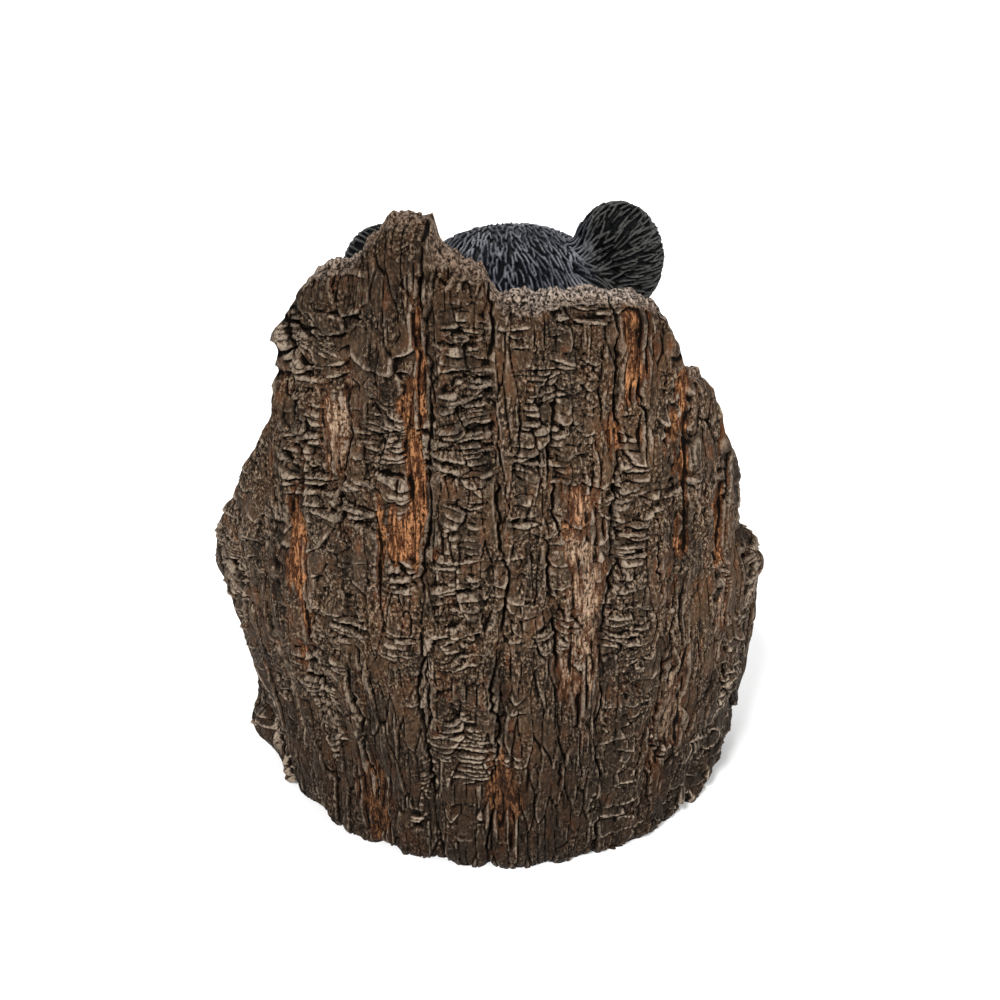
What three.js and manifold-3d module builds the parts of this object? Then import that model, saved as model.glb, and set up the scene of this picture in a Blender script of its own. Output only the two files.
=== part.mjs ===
// A garden figurine, 300 mm tall, cast in resin and painted: a bear cub sits in a hollow, broken tree stump.
// The stump stands on its flat underside at z = 0. The cub looks out over the low front rim, towards -Y,
// and the tall rim behind its back is on the +Y side. Angles run from +X (0) through +Y (90, the back).
import * as THREE from "three";
import { mergeVertices } from "three/addons/utils/BufferGeometryUtils.js";
import Module from "manifold-3d";

const wasm = await Module();
wasm.setup();

// Driving dimensions, in millimetres and degrees
const HEIGHT = 300; // the splinter at the back, the highest point of all
const TRUNK = { back: 113, front: 108, side: 121 }; // radius at the widest level
const WIDEST_Z = 108;
const FOOT_SHARE = 0.905; // radius at the ground as a share of the widest
const FOOT_LEAN = 0.012; // how much that share grows towards +X, and shrinks towards -X
const TOP_LEAN = 5; // how far the tall back leans inwards at its top
const LEAN_FROM = 150; // height at which it starts to lean
const DRAWN_IN = { angle: 30, spread: 70, depth: 12, from: 125, to: 45 }; // the foot is narrower on one side
const SHED_BARK = { angle: 170, spread: 30, depth: 8, from: 112, to: 132 }; // the outer layer ends here
const WALL = 16; // thickness of the broken rim
const WALL_SPREAD = 0.5; // how much thicker, as a share, the wall is at the floor of the hollow
const FLOOR_Z = 62; // floor of the hollow
const HOLLOW_RIPPLE = 1.2; // height of the ripples in the hollow's wall
const UNDERSIDE_SHARE = 0.8; // where the rings of the flat underside start
const CLEARANCE = 0.3; // gap between the cub and the wood that it touches

// The broken rim, as [angle, height]
const RIM = [
  [7, 131],
  [12, 138],
  [22, 158],
  [33, 188],
  [40, 211],
  [43, 237],
  [45, 257],
  [48, 267],
  [54, 275],
  [61, 279],
  [64, 289],
  [68, 298],
  [71, HEIGHT],
  [78, HEIGHT],
  [80, 293],
  [84, 284],
  [90, 279],
  [93, 269],
  [115, 266],
  [126, 262],
  [130, 255],
  [133, 245],
  [135, 230],
  [145, 219],
  [147, 199],
  [151, 190],
  [157, 180],
  [163, 147],
  [171, 128],
  [175, 112],
  [182, 106],
  [205, 98],
  [230, 92],
  [270, 88],
  [315, 92],
  [340, 101],
  [356, 119],
];
const TEETH = { height: 4, long: 10, short: 23 }; // the rim's teeth: two waves, each this many times round
const LIP = 2.5; // how far the rim's edges lie below its crest

// The long fissures between the columns of bark, by their angles
const FISSURES = [
  24, 38, 48, 61, 77, 92, 104, 116, 130, 146, 162, 178, 195, 211, 226, 243, 258, 274, 290, 305, 322, 338, 354,
  369,
];
const FISSURE_DEPTH = 5;
const FISSURE_WANDER = 1.6; // degrees that a fissure strays to each side
const COLUMN_FACES = 5; // faces across one column of bark

// Bare wood where the bark has fallen away: angle, middle height, half width, half height
const BARE_WOOD = [
  [75, 214, 6, 48],
  [48, 152, 5, 38],
  [120, 240, 8, 32],
  [132, 195, 5, 42],
  [60, 222, 5, 18],
  [110, 138, 8, 48],
  [133, 72, 8, 26],
  [94, 38, 9, 24],
  [60, 30, 7, 18],
  [200, 62, 7, 30],
  [236, 48, 8, 26],
  [268, 58, 7, 30],
  [303, 46, 8, 26],
  [335, 66, 6, 28],
];
const BARE_DEPTH = 3.5;
const LUMP = 1.6; // height of the broad lumps of bark

// The cub, leaning back a little, its head rolled towards its left shoulder
const CUB_X = -7;
const HEAD = { centre: [CUB_X - 2, 20, 218], radii: [52, 47, 46], roll: 6 };
const EAR = { aside: 48, up: 30, back: 0, radii: [19, 9, 24], cup: [12.5, 8, 16] };
const LOCK_DEPTH = 0.9; // carved locks of fur

const degrees = THREE.MathUtils.degToRad;
const smooth = (x) => THREE.MathUtils.smoothstep(x, 0, 1);
const mix = THREE.MathUtils.lerp;

// A closed mesh from a sphere whose vertices are moved: place(i, j) gives the point of column i, of `around`
// columns, and ring j, from the pole at 0 to the pole at `rings`.
function moulded(around, rings, place) {
  const geometry = new THREE.SphereGeometry(1, around, rings);
  geometry.rotateX(Math.PI / 2);
  const position = geometry.attributes.position;
  for (let j = 0; j <= rings; j++) {
    for (let i = 0; i <= around; i++) {
      const point = place(i % around, j);
      position.setXYZ(j * (around + 1) + i, point.x, point.y, point.z);
    }
  }
  geometry.deleteAttribute("normal");
  geometry.deleteAttribute("uv");
  return mergeVertices(geometry, 1e-3);
}

function solid(geometry) {
  return new wasm.Manifold(
    new wasm.Mesh({
      numProp: 3,
      vertProperties: geometry.attributes.position.array,
      triVerts: new Uint32Array(geometry.index.array),
    }),
  );
}

function geometryOf(manifold) {
  const mesh = manifold.getMesh();
  const geometry = new THREE.BufferGeometry();
  geometry.setAttribute("position", new THREE.BufferAttribute(mesh.vertProperties, 3));
  geometry.setIndex(new THREE.BufferAttribute(mesh.triVerts, 1));
  const flat = geometry.toNonIndexed();
  flat.computeVertexNormals();
  return flat;
}

// The stump

// Height of the rim by its corners, with teeth of broken wood
function rimHeight(angle) {
  const turned = ((angle - RIM[0][0] + 720) % 360) + RIM[0][0];
  const next = RIM.findIndex((corner) => corner[0] > turned);
  const [a1, z1] = next < 0 ? RIM[RIM.length - 1] : RIM[next - 1];
  const [a2, z2] = next < 0 ? [RIM[0][0] + 360, RIM[0][1]] : RIM[next];
  const teeth = Math.sin(degrees(TEETH.long * angle)) + Math.sin(degrees(TEETH.short * angle) + 1);
  return Math.min(mix(z1, z2, (turned - a1) / (a2 - a1)) + (TEETH.height * teeth) / 2, HEIGHT);
}

// Radius of the trunk without its bark: oval in plan, drawn in at the foot and leaning in at the top
function trunkRadius(angle, z) {
  const across = Math.cos(degrees(angle)) ** 2;
  const end = Math.sin(degrees(angle)) > 0 ? TRUNK.back : TRUNK.front;
  const widest = mix(end, TRUNK.side, across);
  const foot = FOOT_SHARE + FOOT_LEAN * Math.cos(degrees(angle));
  const swell = mix(foot, 1, Math.sin((Math.PI / 2) * Math.min(z / WIDEST_Z, 1)));
  let radius = widest * swell - TOP_LEAN * smooth((z - LEAN_FROM) / (HEIGHT - LEAN_FROM));
  for (const place of [DRAWN_IN, SHED_BARK]) {
    radius -= place.depth * near(angle, place) * smooth((z - place.from) / (place.to - place.from));
  }
  return radius;
}

// 1 at a place's own angle, falling smoothly to 0 a spread away from it
function near(angle, place) {
  return smooth(1 - Math.abs(((angle - place.angle + 540) % 360) - 180) / place.spread);
}

// How far a point lies inside a patch of bare wood: 0 outside, 1 well inside
function bareness(angle, z) {
  let most = 0;
  for (const [middle, height, halfWidth, halfHeight] of BARE_WOOD) {
    const aside = (degrees(((angle - middle + 540) % 360) - 180) * trunkRadius(angle, z)) / halfWidth;
    const above = (z - height) / halfHeight;
    most = Math.max(most, 1 - smooth(Math.hypot(aside, above) - 0.2));
  }
  return most;
}

// Broad lumps in the bark, from three crossing waves that close up round the trunk
function lumps(angle, z) {
  const a = degrees(angle);
  return (
    (Math.sin(9 * a + z / 17) + Math.sin(14 * a - z / 11 + 2) + Math.sin(5 * a + z / 29 + 4)) / 3
  );
}

// Angle of a point a share of the way across column k of the bark, at a height
function columnAngle(k, share, z) {
  const side = (n) => FISSURES[n] + FISSURE_WANDER * Math.sin(z / 38 + 2.1 * n);
  const closed = k + 1 < FISSURES.length ? side(k + 1) : side(0) + 360;
  return mix(side(k), closed, share);
}

// Height of the rim over a line of vertices, which wanders with the fissures beside it
function topOf(k, share) {
  let top = WIDEST_Z;
  for (let turn = 0; turn < 3; turn++) {
    top = rimHeight(columnAngle(k, share, top));
  }
  return top;
}

// Depth of the bark's surface below the trunk's radius; the fissures run out towards the rim
function barkDepth(angle, share, z, top) {
  const crown = 1 - Math.abs(2 * share - 1) ** 3;
  const fading = 0.2 + 0.8 * smooth((top - z) / 30);
  const depth = FISSURE_DEPTH * fading * (0.75 + 0.25 * Math.sin(z / 23 + degrees(angle) * 5));
  return depth * (1 - crown) + BARE_DEPTH * bareness(angle, z) - LUMP * lumps(angle, z);
}

// Radius of the hollow's wall, which is thinnest at the rim
function hollowRadius(angle, z, top) {
  const down = 1 - (z - FLOOR_Z) / (top - FLOOR_Z);
  return trunkRadius(angle, Math.max(z, WIDEST_Z)) - WALL * (1 + WALL_SPREAD * down);
}

// The stump's surface as rings: the floor of the hollow, its wall, the broken rim, the bark and the underside.
// `grown` moves every face outwards by that much.
function stumpGeometry(grown = 0) {
  const hollowRing = 2;
  const crestRing = 7;
  const rimRing = 8;
  const footRing = 22;
  const lastRing = 24;
  return moulded(FISSURES.length * COLUMN_FACES, lastRing, (i, j) => {
    const k = Math.floor(i / COLUMN_FACES);
    const share = (i % COLUMN_FACES) / COLUMN_FACES;
    const top = topOf(k, share);
    if (j <= hollowRing) {
      const angle = columnAngle(k, share, FLOOR_Z);
      const reach = hollowRadius(angle, FLOOR_Z, top) - grown;
      return onRing(angle, (reach * j) / hollowRing, FLOOR_Z + grown);
    }
    if (j < crestRing) {
      const z = mix(FLOOR_Z, top - LIP, (j - hollowRing) / (crestRing - 1 - hollowRing));
      const angle = columnAngle(k, share, z);
      const ripple = HOLLOW_RIPPLE * Math.sin(1.9 * i + j);
      return onRing(angle, hollowRadius(angle, z, top) + ripple - grown, z);
    }
    if (j === crestRing) {
      const angle = columnAngle(k, share, top);
      return onRing(angle, trunkRadius(angle, top) - WALL / 2, top + grown);
    }
    if (j <= footRing) {
      const z = mix(top - LIP, 0, (j - rimRing) / (footRing - rimRing));
      const angle = columnAngle(k, share, z);
      const rounded = j === rimRing ? LIP / 2 : 0;
      return onRing(angle, trunkRadius(angle, z) - barkDepth(angle, share, z, top) - rounded + grown, z);
    }
    const inward = (lastRing - j) / (lastRing - footRing);
    return onRing(columnAngle(k, share, 0), TRUNK.front * UNDERSIDE_SHARE * inward, 0);
  });
}

function onRing(angle, radius, z) {
  return new THREE.Vector3(radius * Math.cos(degrees(angle)), radius * Math.sin(degrees(angle)), z);
}

// The cub

// An ellipsoid with carved locks: its poles lie along `grain`, the way the fur runs, and the locks stand up
// and sink by turns round it and along it.
function furred({ centre, radii, grain = [0, 1, 0], around = 28, rings = 16, lock = LOCK_DEPTH, reach = 3 }) {
  const turn = new THREE.Quaternion().setFromUnitVectors(
    new THREE.Vector3(0, 0, 1),
    new THREE.Vector3(...grain).normalize(),
  );
  const middle = new THREE.Vector3(...centre);
  const half = new THREE.Vector3(...radii);
  return moulded(around, rings, (i, j) => {
    const polar = (Math.PI * j) / rings;
    const round = (2 * Math.PI * i) / around + Math.PI;
    const out = new THREE.Vector3(
      Math.sin(polar) * Math.cos(round),
      Math.sin(polar) * Math.sin(round),
      Math.cos(polar),
    ).applyQuaternion(turn);
    const raised = (i + Math.floor(j / reach)) % 2 ? lock : -lock;
    const point = out.clone().multiply(half);
    return point.addScaledVector(out, raised * Math.sin(polar)).add(middle);
  });
}

// A closed tube through a row of sections, each [x, y, z, half width, half depth]. Its ends are rounded off,
// and carved locks stand up and sink by turns, as on an ellipsoid.
function lofted(sections, { around, rings, lock = LOCK_DEPTH }) {
  const path = new THREE.CatmullRomCurve3(sections.map(([x, y, z]) => new THREE.Vector3(x, y, z)));
  const halves = new THREE.CatmullRomCurve3(sections.map(([, , , a, b]) => new THREE.Vector3(a, b, 0)));
  return moulded(around, rings, (i, j) => {
    const along = j / rings;
    const ahead = path.getTangent(along);
    const side = new THREE.Vector3(1, 0, 0).addScaledVector(ahead, -ahead.x).normalize();
    const upright = new THREE.Vector3().crossVectors(ahead, side);
    const half = halves.getPoint(along);
    const end = Math.sqrt(1 - Math.max(0, 2.4 * Math.abs(along - 0.5) - 0.2) ** 2);
    const raised = (i + Math.floor(j / 2)) % 2 ? lock : -lock;
    const round = (-2 * Math.PI * i) / around;
    return path
      .getPoint(along)
      .addScaledVector(side, Math.cos(round) * (half.x + raised) * end)
      .addScaledVector(upright, Math.sin(round) * (half.y + raised) * end);
  });
}

// Moves a geometry modelled about the head's centre to where the rolled head is
function onHead(geometry) {
  geometry.rotateY(degrees(HEAD.roll));
  geometry.translate(...HEAD.centre);
  return geometry;
}

// The head about its own centre: skull, cheeks, brow, muzzle with its bridge, nose and eyes
function headPieces() {
  const skull = furred({ centre: [0, 0, 0], radii: HEAD.radii, around: 30, rings: 18 });
  const cheeks = furred({ centre: [0, -8, -15], radii: [54, 35, 27], around: 24, rings: 10 });
  const brow = furred({ centre: [0, -29, 10], radii: [29, 16, 13], around: 12, rings: 7, lock: 0.4 });
  const muzzle = furred({ centre: [0, -41, -14], radii: [23, 27, 18], around: 16, rings: 9, lock: 0.3 });
  const bridge = furred({ centre: [0, -38, -3], radii: [16, 28, 14], around: 12, rings: 7, lock: 0.2 });
  const nose = furred({ centre: [0, -65, -5], radii: [10, 6, 7], around: 9, rings: 6, lock: 0 });
  const eyes = [-1, 1].map((side) =>
    furred({ centre: [19 * side, -42, 5], radii: [5, 5, 5], around: 9, rings: 6, lock: 0 }),
  );
  return [skull, cheeks, brow, muzzle, bridge, nose, ...eyes].map((piece) => solid(onHead(piece)));
}

// An ear: a thick upright disc, cupped in front
function ear(side) {
  const { aside, up, back, radii, cup } = EAR;
  const centre = [aside * side, back, up];
  const disc = furred({ centre, radii, around: 20, rings: 10, lock: 0.6, reach: 2 });
  const hollow = furred({
    centre: [centre[0], centre[1] - radii[1], centre[2] + 2],
    radii: cup,
    around: 12,
    rings: 7,
    lock: 0,
  });
  return solid(onHead(disc)).subtract(solid(onHead(hollow)));
}

// The trunk of the body, from its seat on the floor of the hollow up into the head, and the two haunches
function bodyPieces() {
  const body = lofted(
    [
      [CUB_X + 2, 4, 40, 62, 52],
      [CUB_X + 2, 2, 66, 74, 60],
      [CUB_X + 2, 2, 95, 79, 63],
      [CUB_X + 1, 5, 122, 77, 60],
      [CUB_X + 1, 9, 146, 70, 54],
      [CUB_X, 14, 168, 60, 48],
      [CUB_X, 18, 190, 52, 44],
      [CUB_X, 20, 212, 46, 40],
    ],
    { around: 28, rings: 14, lock: 1.2 },
  );
  const haunches = [-1, 1].map((side) =>
    furred({ centre: [CUB_X + 2 + 40 * side, -38, 74], radii: [28, 38, 26], around: 14, rings: 8 }),
  );
  return [body, ...haunches].map(solid);
}

// A foreleg from the shoulder down to a paw laid on the front rim, with five toes
function foreleg(side) {
  const x = (distance) => CUB_X + 2 + side * distance;
  const leg = lofted(
    [
      [x(52), 12, 166, 20, 20],
      [x(60), -12, 148, 26, 25],
      [x(62), -40, 128, 24, 22],
      [x(56), -66, 112, 20, 18],
      [x(48), -84, 103, 18, 15],
      [x(44), -96, 99, 20, 13],
      [x(42), -110, 95, 18, 10],
    ],
    { around: 14, rings: 12 },
  );
  const toes = [-2, -1, 0, 1, 2].map((place) =>
    furred({
      centre: [x(43 + place * 7.6), -106 + place * place, 94],
      radii: [4.6, 8, 7],
      around: 7,
      rings: 5,
      lock: 0,
    }),
  );
  return [leg, ...toes].map(solid);
}

function bearGeometry() {
  const pieces = [...headPieces(), ear(-1), ear(1), ...bodyPieces(), ...foreleg(-1), ...foreleg(1)];
  const whole = pieces.reduce((sum, piece) => sum.add(piece));
  return geometryOf(whole.subtract(solid(stumpGeometry(CLEARANCE))));
}

const bark = new THREE.MeshStandardMaterial({ color: 0x4d4035, roughness: 0.85, metalness: 0 });
const fur = new THREE.MeshStandardMaterial({ color: 0x2c2e32, roughness: 0.6, metalness: 0 });

const stump = new THREE.Mesh(geometryOf(solid(stumpGeometry())), bark);
stump.name = "stump";
const bear = new THREE.Mesh(bearGeometry(), fur);
bear.name = "bear";

const figurine = new THREE.Group();
figurine.add(stump, bear);

// The middle of the whole outline goes over the origin, and the underside stays at z = 0
const outline = new THREE.Box3().setFromObject(figurine);
const middle = outline.getCenter(new THREE.Vector3());
figurine.position.set(-middle.x, -middle.y, -outline.min.z);

export default figurine;
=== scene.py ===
"""A garden figurine cast in resin: a bear cub sits in a hollow, broken tree stump, seen here from behind.

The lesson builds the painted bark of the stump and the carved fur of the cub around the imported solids.
Lengths are in millimetres until a mesh is made, and a mesh is in metres. Angles run from +X towards +Y.
"""

# %% [markdown]
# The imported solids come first. They give the real size and place of the stump and the cub. The trunk below is
# worked out from the same driving dimensions as theirs, so nothing has to be fitted afterwards.

# %% Load the frame
import math

import bpy
import numpy as np
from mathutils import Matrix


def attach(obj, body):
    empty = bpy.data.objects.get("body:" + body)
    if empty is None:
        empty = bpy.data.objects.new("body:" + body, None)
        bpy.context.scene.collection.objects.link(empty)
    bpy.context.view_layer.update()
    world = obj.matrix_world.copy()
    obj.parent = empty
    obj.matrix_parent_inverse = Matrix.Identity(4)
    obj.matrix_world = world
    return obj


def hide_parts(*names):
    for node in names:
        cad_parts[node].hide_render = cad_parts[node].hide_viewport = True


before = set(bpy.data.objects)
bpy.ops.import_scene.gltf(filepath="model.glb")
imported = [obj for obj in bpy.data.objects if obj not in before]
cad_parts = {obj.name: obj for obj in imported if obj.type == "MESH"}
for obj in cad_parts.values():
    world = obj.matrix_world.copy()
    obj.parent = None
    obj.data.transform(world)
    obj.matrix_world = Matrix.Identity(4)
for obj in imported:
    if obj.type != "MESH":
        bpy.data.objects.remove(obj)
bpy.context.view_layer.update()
MM = 0.001
CENTRING = np.array([-0.494, 0.238, 0.0])  # moves the trunk's axis so that the whole outline is centred
print("nodes", sorted(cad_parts))

# %% [markdown]
# A surface here is a grid of points: rows of stations along a profile, each row running round the axis.
# Joining neighbours gives quads, and two fans of triangles close the ends. One helper makes every piece.

# %% Mesh helpers
def ease(x):
    """Smooth step: 3x squared minus 2x cubed, from 0 at 0 to 1 at 1, flat outside."""
    x = np.clip(x, 0.0, 1.0)
    return x * x * (3.0 - 2.0 * x)


def mix(a, b, share):
    """Linear blend from a to b."""
    return a + (b - a) * share


def grid_faces(rows, columns, closed):
    """Faces between two poles: vertex 0, then `rows` rows of `columns` vertices, then the last vertex.
    Quads join the rows and fans of triangles close the ends. A closed grid joins its last column to its
    first, and an open one gets two flat caps, each a polygon along a whole column and both poles."""
    last = 1 + rows * columns
    here = np.arange(columns if closed else columns - 1)
    after = (here + 1) % columns
    row = 1 + np.arange(rows - 1)[:, None] * columns
    below = row + columns
    quads = np.stack([row + here, below + here, below + after, row + after], -1).reshape(-1, 4)
    end = last - columns
    fans = np.concatenate([
        np.stack([0 * here, 1 + here, 1 + after], -1),
        np.stack([last + 0 * here, end + after, end + here], -1),
    ])
    if closed:
        return [quads, fans]
    down = 1 + np.arange(rows) * columns
    first_cap = np.concatenate([[last], down[::-1], [0]])
    last_cap = np.concatenate([[0], down + columns - 1, [last]])
    return [quads, fans, np.stack([first_cap, last_cap])]


def add_numbers(mesh, key, values):
    """A float attribute with one number for each point."""
    mesh.attributes.new(key, "FLOAT", "POINT").data.foreach_set("value", values.astype(np.float32).ravel())


def add_piece(name, points, faces, **attributes):
    """A mesh object in metres from points in millimetres and arrays of faces. Polygons with more than four
    corners stay flat, the rest is smooth. Each named array becomes a float attribute of the points."""
    mesh = bpy.data.meshes.new(name)
    mesh.vertices.add(len(points))
    mesh.vertices.foreach_set("co", (points * MM).astype(np.float32).ravel())
    corners = np.concatenate([group.ravel() for group in faces])
    sides = np.concatenate([np.full(len(group), group.shape[1]) for group in faces])
    mesh.loops.add(len(corners))
    mesh.loops.foreach_set("vertex_index", corners.astype(np.int32))
    mesh.polygons.add(len(sides))
    mesh.polygons.foreach_set("loop_start", np.concatenate([[0], np.cumsum(sides)[:-1]]).astype(np.int32))
    mesh.update(calc_edges=True)
    mesh.polygons.foreach_set("use_smooth", sides <= 4)
    for key, values in attributes.items():
        add_numbers(mesh, key, values)
    mesh.update()
    piece = bpy.data.objects.new(name, mesh)
    bpy.context.scene.collection.objects.link(piece)
    return piece


def with_modifiers(piece):
    """A mesh of the piece as its modifiers leave it, which then replaces both."""
    mesh = bpy.data.meshes.new_from_object(piece.evaluated_get(bpy.context.evaluated_depsgraph_get()))
    piece.modifiers.clear()
    piece.data = mesh
    return mesh


def thin_out(piece, most):
    """Collapses the flattest edges until the piece has at most `most` triangles, and keeps the result."""
    triangles = sum(len(p.vertices) - 2 for p in piece.data.polygons)
    if triangles > most:
        thinning = piece.modifiers.new("thinning", "DECIMATE")
        thinning.ratio = most / triangles
        with_modifiers(piece)
    print(piece.name, triangles, "triangles, kept", len(piece.data.polygons), "faces")
    return piece


print("a closed grid of 3 by 4 has", sum(len(group) for group in grid_faces(3, 4, True)), "faces")

# %% [markdown]
# The trunk is an oval barrel: widest a third of the way up, drawn in at the foot, leaning in at the top.
# Its broken rim is an outline of height against angle, tall and stepped at the back and low in front. These
# are the driving dimensions of the solids, with one step of the rim cut sharper, used as whole arrays.

# %% The trunk's form
HEIGHT = 300.0
TRUNK_BACK, TRUNK_FRONT, TRUNK_SIDE = 113.0, 108.0, 121.0  # radii at the widest level
WIDEST_Z = 108.0
FOOT_SHARE, FOOT_LEAN = 0.905, 0.012
TOP_LEAN, LEAN_FROM = 5.0, 150.0
DRAWN_IN = {"angle": 30, "spread": 70, "depth": 12.0, "from": 125, "to": 45}  # narrower foot
SHED_BARK = {"angle": 170, "spread": 30, "depth": 8.0, "from": 112, "to": 132}  # outer layer ends
WALL, WALL_SPREAD = 16.0, 0.5  # at the rim, and how much thicker, as a share, at the hollow's floor
FLOOR_Z = 62.0
GIRTH = 2.0 * math.pi * 115.0  # the trunk's length round, which turns angles into millimetres
RIM = np.array([  # angle, height
    (7, 131), (12, 138), (22, 158), (33, 188), (40, 211), (43, 237), (45, 257), (48, 267), (54, 275),
    (61, 279), (64, 289), (68, 298), (71, 300), (77, 300), (78.5, 291), (80, 284), (84, 281), (89, 280),
    (91, 273), (93.5, 268), (115, 267), (126, 262), (130, 255), (133, 245), (135, 230), (145, 219),
    (147, 199), (151, 190), (157, 180), (163, 147), (171, 128), (175, 112), (182, 106), (205, 98),
    (230, 92), (270, 88), (315, 92), (340, 101), (356, 119),
])


def off_angle(angle, middle):
    """Signed angle from `middle`, in degrees, between -180 and 180."""
    return (angle - middle + 540.0) % 360.0 - 180.0


def trunk_radius(angle, z):
    """Oval radius, times a swelling that grows as a sine up to the widest level, less a lean and two dips."""
    along = np.radians(angle)
    end = np.where(np.sin(along) > 0, TRUNK_BACK, TRUNK_FRONT)
    widest = mix(end, TRUNK_SIDE, np.cos(along) ** 2)
    foot = FOOT_SHARE + FOOT_LEAN * np.cos(along)
    swell = mix(foot, 1.0, np.sin(np.pi / 2 * np.clip(z / WIDEST_Z, 0.0, 1.0)))
    radius = widest * swell - TOP_LEAN * ease((z - LEAN_FROM) / (HEIGHT - LEAN_FROM))
    for dip in (DRAWN_IN, SHED_BARK):
        near = ease(1.0 - np.abs(off_angle(angle, dip["angle"])) / dip["spread"])
        radius = radius - dip["depth"] * near * ease((z - dip["from"]) / (dip["to"] - dip["from"]))
    return radius


print("the rim is", RIM[:, 1].min(), "to", RIM[:, 1].max(), "mm high, the trunk", 2 * TRUNK_SIDE, "mm wide")

# %% [markdown]
# Bark looks random, but it is built of a few kinds of mark at their own sizes. Two patterns make them all:
# blended random values on a lattice, for soft unevenness and long fibres, and cells round scattered points,
# for plates and cracks. Both are laid on the unrolled trunk and close up after one turn.

# %% Patterns that close up round the trunk
def unevenness(angle, z, wide, tall, seed):
    """Value noise: random numbers from -1 to 1 that stand `wide` mm apart round the trunk and `tall` mm apart
    in height, and are eased between. The seed makes them the same on every run."""
    columns, rows = max(3, round(GIRTH / wide)), 257
    table = np.random.default_rng(seed).uniform(-1.0, 1.0, (rows, columns))
    across, up = angle / 360.0 * columns, z / tall + 40.0
    i, j = np.floor(across).astype(int), np.floor(up).astype(int)
    fi, fj = ease(across - i), ease(up - j)
    i0, i1, j0, j1 = i % columns, (i + 1) % columns, j % rows, (j + 1) % rows
    low = mix(table[j0, i0], table[j0, i1], fi)
    high = mix(table[j1, i0], table[j1, i1], fi)
    return mix(low, high, fj)


def cells(angle, z, wide, tall, seed):
    """Cells round scattered points. Gives how far inside its cell each place is (0 on a border), a random
    number for the cell, and the place's offset from the cell's point, across and up, in cells."""
    columns, rows = max(3, round(GIRTH / wide)), 193
    random = np.random.default_rng(seed)
    point_across, point_up, number = (random.random((rows, columns)) for _ in range(3))
    across, up = angle / 360.0 * columns, z / tall + 40.0
    i, j = np.floor(across).astype(int), np.floor(up).astype(int)
    nearest = np.full(angle.shape, 9.0)
    second = np.full(angle.shape, 9.0)
    found = np.zeros(angle.shape)
    off_x, off_y = np.zeros(angle.shape), np.zeros(angle.shape)
    for dj in (-1, 0, 1):
        for di in (-1, 0, 1):
            ci, cj = (i + di) % columns, (j + dj) % rows
            dx = across - (i + di + 0.1 + 0.8 * point_across[cj, ci])
            dy = up - (j + dj + 0.1 + 0.8 * point_up[cj, ci])
            apart = np.hypot(dx, dy)
            closer = apart < nearest
            second = np.where(closer, nearest, np.minimum(second, apart))
            nearest = np.where(closer, apart, nearest)
            found = np.where(closer, number[cj, ci], found)
            off_x, off_y = np.where(closer, dx, off_x), np.where(closer, dy, off_y)
    return second - nearest, found, off_x, off_y


once_round = np.linspace(0.0, 360.0, 500)
print("noise round the foot, its spread", unevenness(once_round, 0 * once_round, 5, 9, 11).std().round(2))

# %% [markdown]
# The bark itself: columns parted by fissures that wander up the trunk, broken by cracks into plates, with
# stacks of thin flakes like the edges of a torn book, fine fibres everywhere, and bare orange wood in the
# channels where the bark has fallen off. Each kind is a height in millimetres, and they are added up.

# %% Where each kind of mark is
FISSURES = [
    24, 38, 48, 61, 77, 92, 104, 116, 130, 146, 162, 178,
    195, 211, 226, 243, 258, 274, 290, 305, 322, 338, 354, 369,
]
FISSURE_DEPTH, FISSURE_WANDER = 2.6, 1.6
# Patches on the trunk: angle, middle height, half width and half height in mm
STACKED = [
    (50, 240, 14, 18), (51, 205, 14, 26), (67, 214, 9, 14), (85, 224, 12, 50), (102, 219, 13, 27),
    (120, 117, 12, 14), (83, 142, 9, 34), (53, 96, 10, 20), (87, 288, 10, 12), (70, 118, 9, 10),
    (18, 96, 12, 14), (165, 96, 12, 14), (252, 62, 12, 20), (285, 50, 12, 22), (222, 64, 12, 18),
]
CHUNKY = [
    (111, 162, 24, 34), (94, 145, 15, 22), (55, 148, 12, 30), (66, 182, 9, 18), (20, 60, 14, 24),
    (86, 62, 12, 16), (155, 84, 12, 18), (190, 60, 14, 22), (312, 60, 14, 26), (345, 80, 12, 20),
]
FIBROUS = [
    (71, 272, 18, 34), (136, 100, 18, 48), (93, 205, 5, 46), (124, 240, 14, 30), (66, 60, 24, 44),
    (108, 62, 22, 50), (140, 190, 12, 34), (38, 110, 12, 60), (8, 70, 12, 50), (172, 62, 14, 40),
    (238, 70, 12, 30), (270, 60, 10, 30), (330, 60, 14, 40),
]
# Bare wood, where the bark has fallen off
BARE_WOOD = [
    (75, 200, 5, 30), (76, 240, 2.2, 22), (73, 168, 8, 16), (48, 152, 4.5, 34), (121, 244, 6, 22),
    (133, 193, 4, 38), (60, 222, 3, 16), (57, 206, 5, 16), (110, 134, 7, 42), (109, 178, 5, 14),
    (133, 72, 7, 25), (94, 38, 9, 22), (60, 30, 7, 18), (68, 170, 1.8, 16), (117, 210, 3, 16),
    (149, 108, 4, 14), (146, 158, 4, 26), (46, 100, 4, 9), (200, 62, 6, 30), (236, 48, 7, 26),
    (268, 58, 6, 30), (303, 46, 7, 26), (335, 66, 5, 28),
]
# The part of it that weathered to a paler tan
TAN_WOOD = [(110, 134, 8, 44), (133, 72, 9, 27), (60, 222, 5, 18), (57, 206, 7, 18), (149, 108, 6, 16)]
BARE_DEPTH = 2.4
LIP = 2.5  # how far the broken top falls towards its edges
ROUND_IN, ROUND_DOWN = 6.5, 9.0  # how far the bark turns in under the top, and from how far down
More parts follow.
